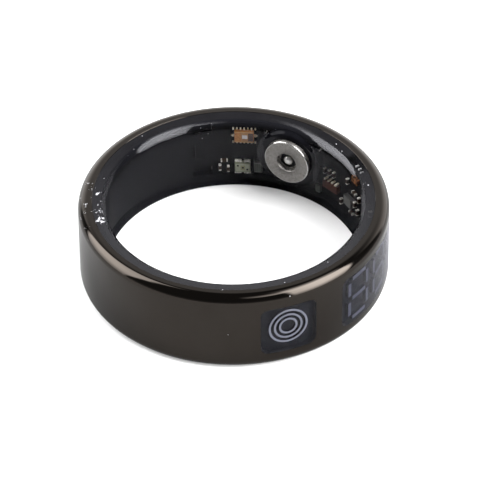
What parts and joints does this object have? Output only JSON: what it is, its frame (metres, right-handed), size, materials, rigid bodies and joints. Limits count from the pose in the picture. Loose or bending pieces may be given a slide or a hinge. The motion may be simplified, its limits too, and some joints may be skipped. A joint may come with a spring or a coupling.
{
  "type": "smart ring",
  "caption": "Finger ring with a black metal shell, smoked touch key and digit display outside, and clear resin over electronics and a charging contact inside.",
  "frame": {"origin": "on the ring axis, in the plane of the lower metal rim that the ring stands on", "axes": "+Z along the ring axis; the touch key looks towards -Y, the display towards +X and the optical sensor is on the inner wall at +Y"},
  "size_m": [0.0254, 0.0254, 0.0073],
  "materials": {
    "black_shell": "gloss black coated steel with a warm tint",
    "clear_resin": "clear cast resin, polished",
    "smoked_window": "smoked clear window, flush with the shell",
    "gasket_foam": "thin black adhesive foam",
    "black_mask": "black printed light mask",
    "light_pipe": "lavender grey diffusing light pipe",
    "light_guide": "white diffusing plate",
    "led_ceramic": "pale ceramic package",
    "copper": "bare copper",
    "black_board": "black flexible board",
    "spring_steel": "thin rolled steel",
    "cell_foil": "aluminium pouch foil",
    "black_film": "black insulating film",
    "nickel": "bright nickel strip",
    "green_board": "green solder mask",
    "sensor_substrate": "amber laminate",
    "silicon": "bare silicon die",
    "gold": "gold plated pads",
    "tin": "tinned solder ends",
    "filter_glass": "grey green filter glass over the die",
    "black_plastic": "black moulded insulator",
    "contact_steel": "satin stainless steel, fine grain",
    "chip_epoxy": "black moulded epoxy",
    "brown_laminate": "dark red brown laminate",
    "capacitor_ceramic": "brown sintered ceramic",
    "ferrite": "dark grey ferrite",
    "antenna_ceramic": "pale antenna ceramic"
  },
  "bodies": {
    "root": {"outer_shell": "black_shell", "resin_liner": "clear_resin", "touch_window": "smoked_window", "touch_window_gasket": "gasket_foam", "touch_light_mask": "black_mask", "touch_ring_lights": "light_pipe", "touch_light_guide": "light_guide", "touch_leds": "led_ceramic", "touch_electrode": "copper", "touch_board": "black_board", "display_window": "smoked_window", "display_window_gasket": "gasket_foam", "display_light_mask": "black_mask", "display_segments": "light_pipe", "display_led_dies": "led_ceramic", "display_board": "black_board", "main_flex_board": "black_board", "board_stiffener": "spring_steel", "battery_cell": "cell_foil", "battery_wrap": "black_film", "battery_tabs": "nickel", "battery_protection_board": "green_board", "optical_sensor": "sensor_substrate", "optical_sensor_die": "silicon", "optical_sensor_pads": "gold", "sensor_led_package": "led_ceramic", "sensor_led_terminals": "tin", "sensor_led_dies": "silicon", "photodiodes": "filter_glass", "contact_carrier": "black_plastic", "contact_ring": "contact_steel", "contact_insulator": "black_plastic", "contact_pin": "contact_steel", "contact_leads": "gold", "radio_chip": "chip_epoxy", "motion_sensor": "brown_laminate", "motion_sensor_pads": "gold", "charger_chip": "chip_epoxy", "memory_chip": "chip_epoxy", "crystal": "spring_steel", "ceramic_capacitors": "capacitor_ceramic", "capacitor_terminals": "tin", "power_inductor": "ferrite", "chip_antenna": "antenna_ceramic", "temperature_sensor": "sensor_substrate", "display_driver_chip": "chip_epoxy", "ground_clips": "gold", "test_pads": "gold"}
  },
  "joints": []
}
